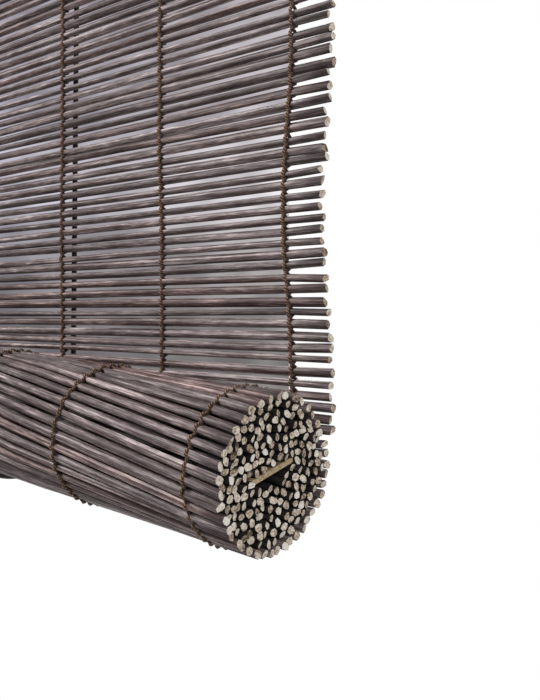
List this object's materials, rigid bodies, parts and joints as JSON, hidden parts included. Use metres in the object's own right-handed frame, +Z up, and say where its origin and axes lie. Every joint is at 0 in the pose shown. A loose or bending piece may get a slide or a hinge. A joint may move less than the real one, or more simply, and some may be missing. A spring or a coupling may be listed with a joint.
{
  "type": "bamboo roll-up blind",
  "caption": "Window blind of thin dark-stained bamboo reeds sewn with warp threads, hanging from a headrail and rolled up from its lower end in two lift cords.",
  "frame": {"origin": "on the wall plane, midway between the two wall screw holes of the hangers", "axes": "+X along the reeds to the right as seen from the room, +Y towards the wall, +Z up; the mat hangs along -Z"},
  "size_m": [0.6072, 0.0923, 0.6513],
  "materials": {
    "reed": "dark stain, satin",
    "thread": "twisted cotton",
    "rail_wood": "dark stain, satin",
    "slat_wood": "raw bamboo",
    "cord": "braided",
    "steel": "zinc plated",
    "brass": "brass plated",
    "nylon": "natural nylon"
  },
  "bodies": {
    "head": {"headrail": "rail_wood", "cover_slat": "rail_wood", "slat_nails": "brass", "hanger_screws": "steel", "hanging_mat": "reed", "warp_2": "thread", "warp_3": "thread", "warp_4": "thread", "warp_5": "thread", "warp_6": "thread", "warp_7": "thread", "hanger_left": "steel", "hanger_right": "steel", "front_eye_left": "brass", "front_eye_right": "brass", "front_cord_left": "cord", "front_cord_right": "cord", "rear_cord_left": "cord", "rear_cord_right": "cord", "rail_cord_left": "cord", "rail_cord_right": "cord", "pulley_strap_left": "brass", "pulley_strap_right": "brass", "pulley_pin_left": "steel", "pulley_pin_right": "steel", "fitting_screws": "steel", "lock_strap": "brass", "lock_pin": "steel"},
    "loops": {"roll_loop_left": "cord", "roll_loop_right": "cord"},
    "roll": {"rolled_mat": "reed", "bottom_slat": "slat_wood", "roll_warp_1": "thread", "roll_warp_2": "thread", "roll_warp_3": "thread", "roll_warp_4": "thread", "roll_warp_5": "thread", "roll_warp_6": "thread", "roll_warp_7": "thread", "roll_warp_8": "thread"},
    "left_wheel": {"pulley_wheel_left": "nylon"},
    "right_wheel": {"pulley_wheel_right": "nylon"},
    "cam": {"lock_cam": "nylon"}
  },
  "joints": [
    {"name": "roll_lift", "type": "slide", "parent": "head", "child": "loops", "axis": [0, 0, 1], "range_m": [0, 0.45], "deforming": ["hanging_mat", "warp_2", "warp_3", "warp_4", "warp_5", "warp_6", "warp_7", "front_cord_left", "front_cord_right", "rear_cord_left", "rear_cord_right"]},
    {"name": "roll_turn", "type": "hinge", "parent": "loops", "child": "roll", "pos_m": [0, -0.05605, -0.59065], "axis": [0.9981, 0, -0.061], "range_deg": [-700, 0]},
    {"name": "left_pulley_turn", "type": "hinge", "parent": "head", "child": "left_wheel", "pos_m": [-0.13, -0.00865, -0.05165], "axis": [0, 1, 0], "range_deg": [-8595, 0]},
    {"name": "right_pulley_turn", "type": "hinge", "parent": "head", "child": "right_wheel", "pos_m": [0.118, -0.01535, -0.05165], "axis": [0, 1, 0], "range_deg": [-8595, 0]},
    {"name": "lock_release", "type": "hinge", "parent": "head", "child": "cam", "pos_m": [-0.268, -0.012, -0.0523], "axis": [0, 1, 0], "range_deg": [0, 60]}
  ],
  "couplings": [
    {"joint": "roll_turn", "follows": "roll_lift", "rad_per_m": -27.14},
    {"joint": "left_pulley_turn", "follows": "roll_lift", "rad_per_m": -333.3},
    {"joint": "right_pulley_turn", "follows": "roll_lift", "rad_per_m": -333.3}
  ]
}
